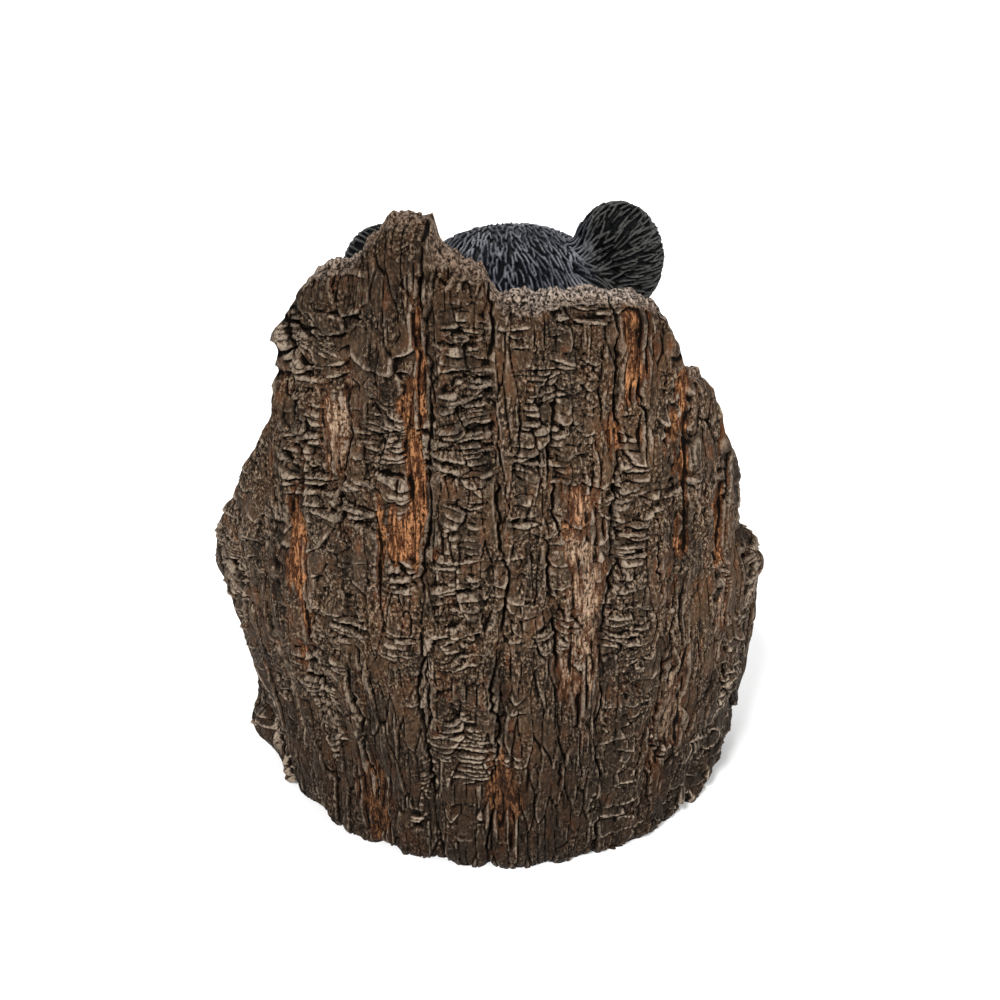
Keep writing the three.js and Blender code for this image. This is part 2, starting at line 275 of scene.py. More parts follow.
# Clefts, where a crack gapes: angle, middle height, half width, half height, depth
CLEFTS = [
    (91.5, 84, 0.6, 32, 4), (59.5, 84, 1.0, 20, 5), (60, 48, 0.7, 20, 4), (77, 92, 0.5, 28, 3.5),
    (123, 212, 0.6, 20, 3.5), (104, 182, 0.5, 12, 3), (79, 232, 0.6, 10, 3), (46, 64, 0.6, 20, 3),
    (20, 26, 1.0, 16, 5), (150, 66, 0.5, 34, 3), (127, 140, 0.5, 20, 3), (211, 52, 0.8, 30, 3.5),
    (258, 44, 0.8, 28, 3.5), (305, 40, 0.8, 24, 3.5), (354, 60, 0.7, 30, 3.5), (96, 214, 0.5, 16, 2.5),
]
# Knobs that stand out from the trunk: angle, height, half width, half height, how far
KNOBS = [(44, 244, 7, 7, 4.5), (12, 22, 15, 15, 6.0), (3, 104, 9, 8, 2.0), (175, 104, 10, 7, 2.0)]


def spot(angle, z, middle, height, half_width, half_height):
    """Distance from a patch's centre, in shares of its half sizes."""
    aside = off_angle(angle, middle) / 360.0 * GIRTH / half_width
    return np.hypot(aside, (z - height) / half_height)


def spots(angle, z, patches, ragged):
    """1 well inside any of the patches and 0 outside, with an edge as ragged as the given noise."""
    inside = np.zeros(angle.shape)
    for patch in patches:
        inside = np.maximum(inside, ease(1.4 - spot(angle, z, *patch) + 0.5 * ragged))
    return inside


print("patches", *map(len, (STACKED, CHUNKY, FIBROUS, BARE_WOOD)), "stacked, chunky, fibrous, bare")

# %% [markdown]
# Stacked leaves are a saw-tooth of the height, proud at each lower edge, and each leaf swells and ends at
# places of its own. Broken faces are cells, each flat and tilted its own way. The grain between them is noise
# whose zero lines are cut in as narrow winding grooves.

# %% The bark's relief
def shingles(up, spacing):
    """A saw-tooth: each leaf is proud at its lower edge and leans in as it goes up. Also gives its number."""
    turns = up / spacing
    number = np.floor(turns)
    share = turns - number
    return (1.0 - share) ** 0.8 * ease(share / 0.16), number


def grooves(noise, sharpness):
    """0 in narrow lines where the noise changes sign, and 1 between them."""
    return np.clip(np.abs(noise) * sharpness, 0.0, 1.0)


def from_fissure(angle, z):
    """How far across its column a place is, from 0 to 1, and how many mm from its nearest fissure."""
    left, right = np.full(angle.shape, 1e3), np.full(angle.shape, 1e3)
    stray = 0.4 * unevenness(angle * 0, z, 30, 8, 5) + 0.5 * unevenness(angle, z, 3, 3, 12)
    for n, middle in enumerate(FISSURES):
        line = middle + FISSURE_WANDER * np.sin(z / 38.0 + 2.1 * n) + 0.5 * np.sin(z / 9.0 + 3.3 * n) + stray
        left = np.minimum(left, (angle - line) % 360.0)
        right = np.minimum(right, (line - angle) % 360.0)
    return left / (left + right), np.minimum(left, right) / 360.0 * GIRTH


def large_forms(angle, z, near_rim, share):
    """Crowned columns, slow swells all over, and a few knobs."""
    along = np.radians(angle)
    crown = np.abs(2.0 * share - 1.0) ** 3
    depth = FISSURE_DEPTH * (0.35 + 0.65 * near_rim) * (0.75 + 0.25 * np.sin(z / 23.0 + 5 * along))
    swells = np.sin(9 * along + z / 17) + np.sin(14 * along - z / 11 + 2) + np.sin(5 * along + z / 29 + 4)
    form = 0.53 * swells - depth * crown
    for middle, height, half_width, half_height, out in KNOBS:
        form += out * ease(1.25 - spot(angle, z, middle, height, half_width, half_height))
    return form + 1.0 * unevenness(angle, z, 9, 20, 16) + 0.6 * unevenness(angle, z, 4.5, 9, 17)


def crack_round(edge):
    """Depth of the crack on a cell's border, in mm."""
    return 1.2 * (1.0 - ease(edge / 0.07))


def stacked_leaves(angle, z, drift):
    """Stacks of thin leaves like the edges of a torn book. Each stack has its own tilt and thickness of leaf,
    and noise, shifted for each leaf, sets where the leaf stands out and where it ends."""
    edge, number, off_x, _ = cells(angle, z + drift, 17.0, 12.0, 22)
    tilt = 9.0 * (number * 5 % 1 - 0.5) * off_x
    thick = 1.8 + 2.9 * (number * 3 % 1) ** 2
    tooth, leaf = shingles(z + drift + tilt + 9.0 * number, thick)
    outline = ease(0.55 + 1.6 * unevenness(angle + 37.7 * leaf + 91.0 * number, 0.0 * z, 9.0, 10.0, 43))
    level = 2.8 * (number - 0.5) + 1.4 * outline - 1.9
    return (0.9 + 0.62 * thick) * tooth * (0.25 + 0.75 * outline) + level - crack_round(edge)


def broken_faces(angle, z, drift, size, seed):
    """Cells about `size` mm across, each one flat and tilted its own way, with a step and a crack between."""
    edge, number, off_x, off_y = cells(angle + 0.25 * drift, z + 0.8 * drift, size, 0.8 * size, seed)
    aside, down = 0.42 * size * (number * 7 % 1 - 0.5), 0.36 * size * (number * 11 % 1)
    return 3.2 * (number - 0.5) + aside * off_x - down * off_y - crack_round(edge)


def bark_relief(angle, z, top):
    """Height of the bark over the trunk's radius, in mm, and where each kind of mark is, from 0 to 1."""
    ragged = unevenness(angle, z, 5, 9, 11)
    fibre = unevenness(angle, z, 1.8, 16, 18)
    changing = unevenness(angle, z, 24, 30, 13)
    drift = 2.2 * unevenness(angle, z, 16, 9, 14) + 0.9 * unevenness(angle, z, 6, 4, 15)
    share, gap = from_fissure(angle, z)
    form = large_forms(angle, z, ease((top - z) / 30.0), share)
    bare = spots(angle, z, BARE_WOOD, 1.2 * ragged + 1.3 * fibre)
    fibrous = spots(angle, z, FIBROUS, ragged)
    stacked = np.maximum(spots(angle, z, STACKED, ragged), ease((changing - 0.2) / 0.2)) * (1.0 - fibrous)
    chunky = np.maximum(spots(angle, z, CHUNKY, ragged), ease((-0.3 - changing) / 0.2)) * (1.0 - fibrous)
    crumbled = 1.0 - ease((top - z - LIP - 0.5 - 1.2 * ragged) / 2.0)

    leaves = stacked_leaves(angle, z, drift)
    faces = np.maximum(broken_faces(angle, z, drift, 12.0, 21), broken_faces(angle, z, drift, 6.5, 23) - 0.4)
    broken = chunky * (faces - 1.1) * (1.0 - stacked) + stacked * (leaves - 0.4)

    worms = grooves(unevenness(angle, z, 1.3, 3.4, 25), 2.4)
    threads = grooves(unevenness(angle + 0.3 * ragged, z, 1.4, 17.0, 26), 2.4)
    grain = 0.5 + 0.5 * unevenness(angle, z, 1.5, 1.7, 27)
    flaky = np.maximum(stacked, chunky)
    fine = mix(mix(worms, grain, 0.5), threads, np.maximum(fibrous, 0.6 * bare))
    fine = mix(fine, 1.3 * grain, crumbled)
    calm = ease(0.3 + 1.4 * unevenness(angle, z, 7, 6, 30)) * (1.0 - bare) * (1.0 - crumbled)
    strength = 1.3 * (1.0 - 0.3 * flaky) * (1.0 - 0.75 * calm)

    split, strip_number, _, _ = cells(angle + 0.35 * ragged, z, 5.0, 34.0, 24)
    strips = (1.0 - 0.75 * flaky) * (2.0 * (strip_number - 0.5) - 1.3 * (1.0 - ease(split / 0.12)))
    opening = 0.05 + 0.95 * ease(0.3 + 1.7 * unevenness(angle, z, 15, 17, 31))
    cracks = -2.6 * opening * np.exp(-((gap / 0.7) ** 2))
    for middle, height, half_width, half_height, depth in CLEFTS:
        line = middle + 0.5 * np.sin(z / 7.0 + middle) + 0.6 * ragged + 0.5 * unevenness(angle, z, 4, 2.5, 32)
        aside = np.abs(off_angle(angle, line)) / 360.0 * GIRTH / half_width
        depth = depth * (0.7 + 0.3 * unevenness(angle, z, 3, 5, 33))
        cracks = np.minimum(cracks, -depth * ease(1.6 - aside) * ease(1.3 - np.abs(z - height) / half_height))
    whole = (1.0 - bare) * (1.0 - crumbled)
    relief = form + (broken + strips) * whole + strength * (fine - 0.7) + cracks
    tan = spots(angle, z, TAN_WOOD, ragged)
    marks = {"bare": bare, "tan": tan, "crumbled": 0.6 * crumbled, "flaky": flaky, "calm": calm}
    return relief - BARE_DEPTH * bare * (1.0 - crumbled), marks


def blurred(height, reach):
    """Mean over a square of `reach` steps to each side: differences of running sums, down and across."""
    for axis in (0, 1):
        margin = [(0, 0), (0, 0)]
        margin[axis] = (reach + 1, reach)
        sums = np.cumsum(np.pad(height, margin, mode="edge"), axis)
        size = 2 * reach + 1
        after = np.take(sums, range(size, sums.shape[axis]), axis)
        before = np.take(sums, range(sums.shape[axis] - size), axis)
        height = (after - before) / size
    return height


def stands_out(height, step):
    """How far a place stands over what lies 1 mm and 3 mm around it, in mm. A dry brush, which is also a
    painted highlight, touches only what stands out, and the wash, which is also painted shade, fills what lies
    under."""
    near, far = max(1, round(0.9 / step)), max(2, round(2.8 / step))
    return height - 0.8 * blurred(height, near) - 0.2 * blurred(height, far)


def paleness(angle):
    """How pale the broken wood of the rim is: most on one side of the back, least on the sloping parts."""
    pale = 0.35 + 0.65 * ease(1.6 - np.abs(off_angle(angle, 112)) / 16.0)
    pale = np.maximum(pale, 0.7 * ease(2.0 - np.abs(off_angle(angle, 54)) / 7.0))
    return np.maximum(pale, 0.6 * ease(2.4 - np.abs(off_angle(angle, 268)) / 50.0))


print("a leaf's profile, upwards", shingles(np.linspace(0.0, 0.9, 6), 1.0)[0].round(2))

# %% [markdown]
# The stump's profile starts in the middle of the hollow's floor, climbs the inner wall, crosses the
# crumbling top of the rim, comes down the bark and closes under the foot. One mesh fine enough for the
# flakes would be too heavy to handle, so the stump is four slices, cut like a cake, each closed by flat caps.

# %% Build the stump
FINE, COARSE = ((0.54, 0.57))  # spacing round and down, in mm
# Slices: name, from angle, to angle, how many times coarser, triangles kept
SLICES = [
    ("stump_back_left", -6, 61, 1.0, 186000), ("stump_back", 61, 116, 1.0, 186000),
    ("stump_back_right", 116, 178, 1.0, 186000), ("stump_front", 178, 354, 2.0, 130000),
]
FLOOR_ROWS, FOOT_ROWS, HOLLOW_STEP, RIM_STEP = 8, 2, 2.4, 0.8
SPREAD = (5, 25, 50, 75, 95)  # the percentiles that the cells print


def rim_height(angle):
    """The rim's height at each angle, with small broken teeth on its outline."""
    base = np.interp(angle, RIM[:, 0], RIM[:, 1], period=360)
    level = 0.0 * angle
    teeth = 1.3 * unevenness(angle, level, 9.0, 10, 41) + 0.9 * unevenness(angle, level, 3.6, 10, 42)
    return np.minimum(base + teeth, HEIGHT - 1.0)


def hollow_wall(angle, z, top):
    """Inner radius: the trunk's radius less the wall, with staves of old wood and their grain. Gives also the
    relief, and how near the rim a place is."""
    grain = 0.9 * unevenness(angle, z, 3.0, 40.0, 51) + 0.5 * unevenness(angle, z, 1.6, 16.0, 52)
    split, number, _, _ = cells(angle, z, 13.0, 90.0, 53)
    relief = grain + 1.8 * (number - 0.5) - 1.6 * (1.0 - ease(split / 0.12))
    down = 1.0 - (z - FLOOR_Z) / (top - FLOOR_Z)
    radius = trunk_radius(angle, np.maximum(z, WIDEST_Z)) - WALL * (1.0 + WALL_SPREAD * down)
    return radius - 1.0 - 0.9 * relief, relief, 1.0 - ease((top - z) / 8.0)


def rim_top(inner, outer, angle, top):
    """From the inner to the outer edge in a flat arch, broken into crumbs. The share of the way across sets
    the radius, and the height falls by LIP in a quarter circle at each edge. Gives the crumbs' height too."""
    across = np.linspace(0.0, 1.0, round((WALL - ROUND_IN) / RIM_STEP) + 2)[1:-1, None]
    radius = mix(inner, outer, across)
    rounding = 1.0 - np.sqrt(1.0 - np.clip((np.abs(2 * across - 1) - 0.45) / 0.55, 0, 1) ** 2)
    turn = np.broadcast_to(angle, radius.shape)
    crumbs = 1.4 * unevenness(turn, radius, 8.0, 8.0, 55) + 1.2 * unevenness(turn, radius, 3.4, 3.4, 54)
    crumbs = crumbs + 1.0 * unevenness(turn, radius, 1.6, 1.6, 57)
    return radius, top - LIP * rounding + crumbs * (1.0 - rounding), crumbs


def build_slice(name, start, end, coarser, most):
    """One slice between two angles: rows of radii and heights from the floor's centre to the foot's."""
    columns = round((end - start) / 360.0 * GIRTH / (FINE * coarser)) + 1
    angle = np.linspace(start, end, columns)[None, :]
    top = rim_height(angle)
    bark_z = np.linspace(1.0, 0.0, round(top.max() / (COARSE * coarser)))[:, None] * (top - LIP)
    relief, kinds = bark_relief(angle + 0.0 * bark_z, bark_z, top + 0.0 * bark_z)
    bark_radius = trunk_radius(angle, bark_z) + relief - 2.0 * (1.0 - ease(bark_z / 4.0))
    near_top = np.clip(1.0 - (top - LIP - bark_z) / ROUND_DOWN, 0.0, 1.0)
    bark_radius -= ROUND_IN * (1.0 - np.sqrt(1.0 - near_top ** 2))
    proud = stands_out(relief, FINE * coarser)
    print(name, "stands out by", np.percentile(proud, SPREAD).round(2), "mm")

    hollow_rows = round((top.max() - FLOOR_Z) / HOLLOW_STEP)
    hollow_z = mix(FLOOR_Z, top - LIP, np.linspace(0.0, 1.0, hollow_rows)[:, None])
    hollow_radius, hollow_relief, hollow_rim = hollow_wall(angle + 0.0 * hollow_z, hollow_z, top)
    rim_radius, rim_z, crumbs = rim_top(hollow_radius[-1:], bark_radius[:1], angle, top)
    out = np.linspace(0.0, 1.0, FLOOR_ROWS + 1)[1:-1, None]
    floor_radius = hollow_radius[:1] * out
    floor_z = FLOOR_Z + ease(9 * (1 - out)) * 0.8 * unevenness(angle + 0.0 * out, 90 * out, 9.0, 9.0, 56)
    foot_radius = bark_radius[-1:] * np.linspace(1.0, 0.0, FOOT_ROWS + 2)[1:-1, None]

    radius = np.concatenate([floor_radius, hollow_radius, rim_radius, bark_radius, foot_radius])
    z = np.concatenate([floor_z, hollow_z, rim_z, bark_z, 0.0 * foot_radius])
    along = np.radians(angle + 0.0 * radius)
    body = np.stack([radius * np.cos(along), radius * np.sin(along), z], -1).reshape(-1, 3)
    points = np.concatenate([[[0.0, 0.0, FLOOR_Z]], body, [[0.0, 0.0, 0.0]]]) + CENTRING

    def column_values(floor, hollow, rim, bark, foot):
        """One number for each point, from a number or an array for each stretch of the profile."""
        pairs = zip((floor, hollow, rim, bark, foot), (floor_z, hollow_z, rim_z, bark_z, foot_radius))
        values = np.concatenate([value + 0.0 * like for value, like in pairs]).ravel()
        return np.concatenate([values[:1], values, values[-1:]])

    pale = paleness(angle)
    marks = {
        "proud": (0, 0.5 * hollow_relief, stands_out(crumbs, RIM_STEP), proud, 0),
        "bare": (0, 0, 0, kinds["bare"], 0),
        "tan": (0, 0, 0, kinds["tan"], 0),
        "crumbled": (0, hollow_rim, 1.0, kinds["crumbled"], 0),
        "flaky": (0, 0, 0, kinds["flaky"], 0),
        "calm": (0.5, 0.5, 0, kinds["calm"], 0),
        "inside": (1.0, 1.0 - hollow_rim, 0, 0, 0),
        "pale": (0, pale, pale, pale, 0),
    }
    numbers = {key: column_values(*stretches) for key, stretches in marks.items()}
    return thin_out(add_piece(name, points, grid_faces(len(radius), columns, False), **numbers), most)


stump_slices = [build_slice(*numbers) for numbers in SLICES]

# %% [markdown]
# Painted resin bark has a dark brown coat, black in the cracks, where a wash is also painted shade, with grey
# brushed lightly over whatever stands out, a dry brush that is also a painted highlight. The mesh knows where
# that
# is: its attribute `proud` says how far a place stands over what lies round it. The brush marks and the grain
# finer than the mesh are noise on Object coordinates.

# %% Material helpers
def linear(red, green, blue):
    """A colour given in 0 to 255 as seen, turned into the linear values that the shader wants."""
    seen = np.array([red, green, blue]) / 255.0
    return tuple(np.where(seen <= 0.04045, seen / 12.92, ((seen + 0.055) / 1.055) ** 2.4)) + (1.0,)


class Paint:
    """Short ways to add and join shader nodes in one material."""

    def __init__(self, name, roughness, specular):
        self.material = bpy.data.materials.new(name)
        self.material.use_nodes = True
        self.nodes = self.material.node_tree.nodes
        self.links = self.material.node_tree.links
        self.shader = self.nodes["Principled BSDF"]
        self.shader.inputs["Roughness"].default_value = roughness
        self.shader.inputs["Specular IOR Level"].default_value = specular
        self.place = self.nodes.new("ShaderNodeTexCoord").outputs["Object"]

    def join(self, value, socket):
        """Links a socket, or sets a plain value."""
        if isinstance(value, bpy.types.NodeSocket):
            self.links.new(value, socket)
        else:
            socket.default_value = value

    def attribute(self, name):
        """The numbers that the mesh keeps under this name."""
        node = self.nodes.new("ShaderNodeAttribute")
        node.attribute_name = name
        return node.outputs["Fac"]

    def height(self):
        """Height over the ground, in metres."""
        node = self.nodes.new("ShaderNodeSeparateXYZ")
        self.links.new(self.place, node.inputs["Vector"])
        return node.outputs["Z"]

    def math(self, operation, a, b):
        """One sum, product or the like of two values."""
        node = self.nodes.new("ShaderNodeMath")
        node.operation = operation
        self.join(a, node.inputs[0])
        self.join(b, node.inputs[1])
        return node.outputs[0]

    def times(self, a, b):
        """The product of two values."""
        return self.math("MULTIPLY", a, b)

    def ramp(self, value, low, high, out_low=0.0, out_high=1.0):
        """Maps low..high to out_low..out_high smoothly, held at both ends."""
        node = self.nodes.new("ShaderNodeMapRange")
        node.interpolation_type = "SMOOTHSTEP"
        for socket, number in zip(node.inputs[1:5], (low, high, out_low, out_high)):
            socket.default_value = number
        self.join(value, node.inputs[0])
        return node.outputs[0]

    def noise(self, across_mm, along_mm, octaves=3.0, roughness=0.6):
        """Noise with blobs of a given size in mm, across and upwards."""
        stretch = self.nodes.new("ShaderNodeMapping")
        flat, tall = 1.0 / (across_mm * MM), 1.0 / (along_mm * MM)
        stretch.inputs["Scale"].default_value = (flat, flat, tall)
        self.links.new(self.place, stretch.inputs["Vector"])
        node = self.nodes.new("ShaderNodeTexNoise")
        node.inputs["Scale"].default_value = 1.0
        node.inputs["Detail"].default_value = octaves
        node.inputs["Roughness"].default_value = roughness
        self.links.new(stretch.outputs["Vector"], node.inputs["Vector"])
        return node.outputs["Fac"]

    def blend(self, share, a, b):
        """Colour a where share is 0 and colour b where it is 1."""
        node = self.nodes.new("ShaderNodeMix")
        node.data_type = "RGBA"
        self.join(share, node.inputs["Factor"])
        self.join(a, node.inputs[6])
        self.join(b, node.inputs[7])
        return node.outputs[2]

    def coats(self, coat, layers):
        """Lays colours over a coat, one after the other, each where its mask is 1."""
        for mask, seen in layers:
            coat = self.blend(mask, coat, linear(*seen))
        return coat

    def relief(self, height, strength, distance_mm):
        """Grain finer than the mesh, as a bump."""
        node = self.nodes.new("ShaderNodeBump")
        node.inputs["Strength"].default_value = strength
        node.inputs["Distance"].default_value = distance_mm * MM
        self.join(height, node.inputs["Height"])
        self.links.new(node.outputs["Normal"], self.shader.inputs["Normal"])


print("dark brown, as the shader wants it", np.round(linear(54, 43, 33)[:3], 3))

# %% [markdown]
# The bark is painted much as its maker paints it, one coat over the other: brown in patches, orange and tan on
# the bare wood, a pale crumbled rim, painted shade near the ground and the top, grey on whatever stands out as
# a dry brush and a painted highlight, gloom in patches, and last a black wash in the cracks that is also
# painted shade.
# Each coat is a colour that is blended in where a mask says so.

# %% The bark's paint
def bark_paint():
    """Brown coat by patches, orange bare wood, pale crumbled rim, painted shade near the ground and the top, a
    dark wash in the cracks that is also painted shade, and a grey dry brush on whatever stands out that is also
    a painted highlight."""
    paint = Paint("painted_bark", roughness=0.6, specular=0.06)
    proud, bare, crumbled = paint.attribute("proud"), paint.attribute("bare"), paint.attribute("crumbled")
    inside, flaky, calm = paint.attribute("inside"), paint.attribute("flaky"), paint.attribute("calm")
    speckle = paint.noise(1.2, 1.6, 3.0, 0.75)
    grainy = paint.ramp(calm, 0.0, 1.0, 1.0, 0.3)
    streak = paint.noise(1.3, 9.0, 3.0, 0.65)
    cloud = paint.noise(22.0, 40.0, 2.0)
    rust = paint.noise(6.0, 16.0, 4.0, 0.7)
    gloom = paint.noise(9.0, 20.0, 3.0, 0.6)

    coat = paint.blend(paint.ramp(cloud, 0.4, 0.62), linear(54, 43, 33), linear(78, 57, 39))
    coat = paint.coats(coat, [
        (paint.ramp(rust, 0.5, 0.7, 0.0, 0.8), (106, 64, 38)),  # rusty patches
        (paint.ramp(rust, 0.46, 0.36, 0.0, 0.7), (42, 35, 27)),  # dark patches
        (paint.times(flaky, 0.4), (66, 56, 46)),  # greyer flakes
        (paint.ramp(streak, 0.5, 0.7, 0.0, 0.6), (114, 88, 66)),  # fibres
        (paint.times(paint.ramp(speckle, 0.53, 0.64, 0.0, 0.8), grainy), (172, 148, 124)),  # light grain
        (paint.times(paint.ramp(speckle, 0.37, 0.5, 1.0, 0.0), grainy), (16, 9, 4)),  # dark grain
    ])

    # Bare wood, orange or tan, with a rusty edge
    wood = paint.blend(paint.ramp(streak, 0.42, 0.6), linear(76, 40, 21), linear(192, 134, 90))
    tan = paint.blend(paint.ramp(streak, 0.36, 0.62), linear(96, 68, 48), linear(196, 166, 138))
    wood = paint.blend(paint.attribute("tan"), wood, tan)
    wood = paint.blend(paint.ramp(speckle, 0.38, 0.52, 0.95, 0.0), wood, linear(34, 17, 8))
    worn = paint.times(bare, paint.ramp(streak, 0.3, 0.6, 0.5, 1.3))
    coat = paint.blend(paint.ramp(worn, 0.05, 0.4, 0.0, 0.7), coat, linear(84, 48, 27))
    coat = paint.blend(paint.ramp(worn, 0.4, 0.95), coat, wood)

    # The hollow's lining, and the broken wood of the rim
    lining = paint.blend(paint.ramp(streak, 0.35, 0.7), linear(46, 32, 22), linear(100, 74, 52))
    coat = paint.blend(inside, coat, lining)
    crumb = paint.blend(paint.ramp(speckle, 0.42, 0.6), linear(34, 25, 18), linear(192, 174, 159))
    tinged = paint.blend(paint.ramp(speckle, 0.4, 0.62), linear(44, 30, 20), linear(132, 102, 76))
    crumb = paint.blend(paint.attribute("pale"), tinged, crumb)
    coat = paint.blend(crumbled, coat, crumb)

    # Painted shade near the ground and the top, the dry brush with its painted highlight, gloom in patches, and
    # the wash in the cracks with its painted shade
    low = paint.ramp(paint.height(), 0.02, 0.14, 0.65, 0.0)
    high = paint.ramp(paint.height(), 0.22, 0.28, 0.0, 0.35)
    on_bark = paint.math("SUBTRACT", 1.0, crumbled)
    shaded = paint.times(paint.math("MAXIMUM", low, high), on_bark)
    # The grey dry brush on what stands out is also a painted highlight on the edges of flakes and plates.
    brushed = paint.times(paint.ramp(proud, 0.2, 0.75), paint.ramp(speckle, 0.38, 0.54, 0.3, 1.0))
    brushed = paint.times(brushed, paint.ramp(flaky, 0.0, 1.0, 0.5, 0.9))
    brushed = paint.times(brushed, paint.ramp(gloom, 0.4, 0.6, 1.35, 0.75))
    dim = paint.times(paint.ramp(gloom, 0.53, 0.68, 0.0, 0.65), on_bark)
    # The black wash in what lies under its surroundings is also painted shade in the cracks and hollows.
    wash_and_shade = paint.ramp(proud, -0.03, -0.5, 0.0, 0.98)
    layers = [(shaded, (20, 13, 8)), (brushed, (158, 141, 123)), (dim, (12, 8, 5)), (wash_and_shade, (5, 2, 0))]
    paint.join(paint.coats(coat, layers), paint.shader.inputs["Base Color"])

    height = paint.math("ADD", paint.times(speckle, paint.ramp(calm, 0.0, 1.0, 1.2, 0.5)), streak)
    paint.relief(height, 1.0, 1.5)
    return paint.material


bark = bark_paint()
for piece in stump_slices:
    piece.data.materials.append(bark)
    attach(piece, "root")
    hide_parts("stump")
print(bark.name, "has", len(bark.node_tree.nodes), "nodes")

# %% [markdown]
# The cub is modelled like clay. Closed lumps overlap where the skull, cheeks, muzzle, ears and limbs are,
# and a voxel remesh melts them into one skin. Separate surfaces would leave hard creases where they meet.
# The head is made upright in a frame of its own, and is rolled and set on the neck at the end.

# %% Lumps of clay
def ball(centre, radii, across=72):
    """An ellipsoid: the latitude goes down from the top pole, and the longitude once round."""
    down = np.linspace(0.0, math.pi, across // 2 + 1)[1:-1, None]
    turn = (np.arange(across) * 2.0 * math.pi / across)[None, :]
    belt = [np.sin(down) * np.cos(turn), np.sin(down) * np.sin(turn), np.cos(down) + 0.0 * turn]
    unit = np.concatenate([[[0.0, 0.0, 1.0]], np.stack(belt, -1).reshape(-1, 3), [[0.0, 0.0, -1.0]]])
    return unit * radii + np.array(centre, float), grid_faces(across // 2 - 1, across, True)


def limb(stations, across=48, steps=64):
    """A closed tube through stations of x, y, z, half width and half depth. Its sections are ellipses square
    to the path, and a factor that falls like a quarter circle towards each end rounds it off."""
    stations = np.array(stations, float)
    along = np.linspace(0.0, 1.0, steps)
    at = along * (len(stations) - 1)
    x, y, z, wide, deep = (np.interp(at, np.arange(len(stations)), column) for column in stations.T)
    rounding = np.sqrt(1.0 - np.clip(2.4 * np.abs(along - 0.5) - 0.2, 0.0, 1.0) ** 2)
    path = np.stack([x, y, z], -1)
    ahead = np.gradient(path, axis=0)
    ahead /= np.linalg.norm(ahead, axis=1, keepdims=True)
    side = np.array([1.0, 0.0, 0.0]) - ahead[:, :1] * ahead
    side /= np.linalg.norm(side, axis=1, keepdims=True)
    up = np.cross(side, ahead)
    turn = (np.arange(across) * 2.0 * math.pi / across)[None, :, None]
    wide, deep = (wide * rounding)[:, None, None], (deep * rounding)[:, None, None]
    rings = path[:, None] + wide * np.cos(turn) * side[:, None] + deep * np.sin(turn) * up[:, None]
    points = np.concatenate([path[:1], rings[1:-1].reshape(-1, 3), path[-1:]])
    return points, grid_faces(steps - 2, across, True)


def join(lumps):
    """One list of points and faces from several closed surfaces."""
    starts = np.cumsum([0] + [len(points) for points, _ in lumps])
    faces = [group + start for (_, groups), start in zip(lumps, starts) for group in groups]
    return np.concatenate([points for points, _ in lumps]), faces


def melt(name, lumps, voxel, passes):
    """Melts closed lumps into one skin: a voxel remesh, smoothing passes and one subdivision. Gives the
    piece, with its points in millimetres and its normals."""
    clay = add_piece(name, *join(lumps))
    remesh = clay.modifiers.new("melt", "REMESH")
    remesh.mode, remesh.voxel_size = "VOXEL", voxel * MM
    soften = clay.modifiers.new("soften", "SMOOTH")
    soften.factor, soften.iterations = 0.5, passes
    finer = clay.modifiers.new("finer", "SUBSURF")
    finer.levels = finer.render_levels = 1
    skin = with_modifiers(clay)
    points, normals = np.empty(len(skin.vertices) * 3), np.empty(len(skin.vertices) * 3)
    skin.vertices.foreach_get("co", points)
    skin.vertices.foreach_get("normal", normals)
    return clay, points.reshape(-1, 3) / MM, normals.reshape(-1, 3)


print("a ball has", len(ball((0, 0, 0), (1, 1, 1))[0]), "points")

# %% [markdown]
# The fur is carved strands that overlap like tiles and follow the way real fur lies: on the head about 2 mm
# wide and 10 mm long, on the body 3 mm and 13 mm. Every strand is a small ridge laid on the skin around a
# seed point, highest at its tip, where it ends in a step. A point of the skin takes the height of the tallest
# strand that crosses it, and keeps how near it is to that strand's middle line, for the brush.

# %% Carved strands
def across_skin(flow, normals):
    """The flow laid flat on the skin: the part along the normal is taken away, the rest is made a unit."""
    flat = flow - (flow * normals).sum(1, keepdims=True) * normals
    return flat / (np.linalg.norm(flat, axis=1, keepdims=True) + 1e-9)


def cell_key(place):
    """One number for each cell of space."""
    return (place[:, 0] * 4096 + place[:, 1]) * 4096 + place[:, 2]


def part_seeds(points, normals, flow, length, pitch, random):
    """Seed points with no other seed within about a pitch across the flow and a strand's length along it.
    Candidates come in random order, and one is kept if it lies outside the ellipsoids of all kept ones."""
    order = random.permutation(len(points))
    low = points.min(0) - 20.0
    _, first = np.unique(cell_key(np.floor((points[order] - low) / pitch).astype(int)), return_index=True)
    candidates = random.permutation(order[first])
    kept = np.empty(len(candidates), int)
    count = 0
    for candidate in candidates:
        seeds = kept[:count]
        away = points[seeds] - points[candidate]
        near = np.nonzero(np.abs(away).max(1) < length)[0]
        away, ahead = away[near], flow[candidate]
        along = away @ ahead
        across = np.sqrt(np.maximum((away ** 2).sum(1) - along ** 2, 0.0))
        same_side = normals[seeds[near]] @ normals[candidate] > 0.2
        if not (same_side & (np.hypot(along / (0.75 * length), across / pitch) < 1.0)).any():
            kept[count] = candidate
            count += 1
    return kept[:count]


